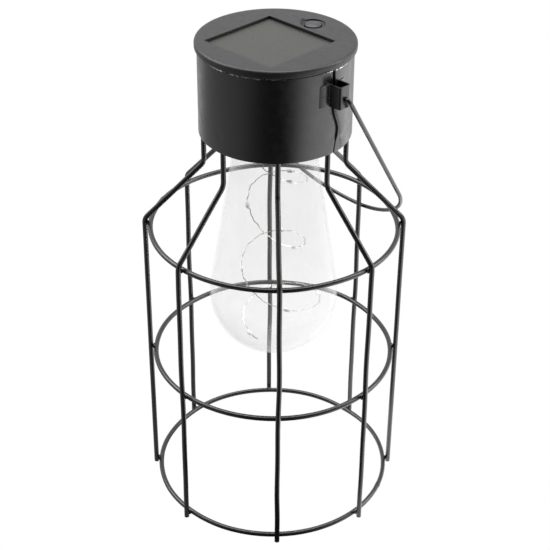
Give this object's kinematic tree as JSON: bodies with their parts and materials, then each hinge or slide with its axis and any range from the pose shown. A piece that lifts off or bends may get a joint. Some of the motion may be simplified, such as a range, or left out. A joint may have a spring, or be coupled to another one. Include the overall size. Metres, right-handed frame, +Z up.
{
  "type": "solar garden light",
  "caption": "Black wire-cage solar lantern with a clear teardrop bulb, a lift-out solar lid with a push button, and a swinging wire handle.",
  "frame": {"origin": "on the cage's axis, on the plane of the wire ends that it stands on", "axes": "+Z up along the cage's axis, +X through the right lug along the handle's pivot axis, +Y to the side where the handle hangs and the button sits"},
  "size_m": [0.129, 0.1314, 0.248],
  "materials": {
    "black_paint": "satin gloss black paint",
    "black_plastic": "fine moulded texture",
    "clear_resin": "clear cover over the solar cell",
    "solar_cell": "dark cell with fine grid lines",
    "button_rubber": "soft matt button",
    "board_green": "circuit board",
    "component_plastic": "black plastic",
    "switch_metal": "pressed steel can",
    "battery_sleeve": "shrink sleeve",
    "nickel_steel": "nickel-plated",
    "seal_rubber": "soft rubber",
    "clear_bulb": "clear thin shell",
    "string_silver": "fine silver wire with clear beads",
    "lead_red": "insulated lead",
    "lead_black": "insulated lead"
  },
  "bodies": {
    "cage": {"collar": "black_paint", "cage_wire_1": "black_paint", "cage_wire_2": "black_paint", "cage_wire_3": "black_paint", "cage_wire_4": "black_paint", "cage_wire_5": "black_paint", "cage_wire_6": "black_paint", "cage_wire_7": "black_paint", "cage_wire_8": "black_paint", "base_ring": "black_paint", "middle_ring": "black_paint", "shoulder_ring": "black_paint", "lug_right": "black_paint", "lug_left": "black_paint"},
    "handle": {"handle": "black_paint"},
    "solar_unit": {"top_cap": "black_plastic", "window_cover": "clear_resin", "solar_cell": "solar_cell", "circuit_board": "board_green", "driver_chip": "component_plastic", "inductor": "component_plastic", "push_switch": "switch_metal", "board_screw_1": "nickel_steel", "board_screw_2": "nickel_steel", "battery": "battery_sleeve", "battery_holder": "component_plastic", "battery_spring": "nickel_steel", "plate_contact": "nickel_steel", "cell_lead_negative": "lead_black", "cell_lead_positive": "lead_red", "battery_lead_negative": "lead_black", "battery_lead_positive": "lead_red", "bottom_cover": "black_plastic", "cover_seal": "seal_rubber", "cover_screw_1": "nickel_steel", "cover_screw_2": "nickel_steel", "cover_screw_3": "nickel_steel", "bulb": "clear_bulb", "light_string": "string_silver"},
    "button": {"power_button": "button_rubber", "switch_plunger": "component_plastic"}
  },
  "joints": [
    {"name": "handle_swing", "type": "hinge", "parent": "cage", "child": "handle", "pos_m": [0, 0, 0.23145], "axis": [1, 0, 0], "range_deg": [0, 291.2]},
    {"name": "unit_lift", "type": "slide", "parent": "cage", "child": "solar_unit", "axis": [0, 0, 1], "range_m": [0, 0.165]},
    {"name": "button_press", "type": "slide", "parent": "solar_unit", "child": "button", "axis": [0, 0, -1], "range_m": [0, 0.0012], "stiffness_N_per_m": 300}
  ]
}
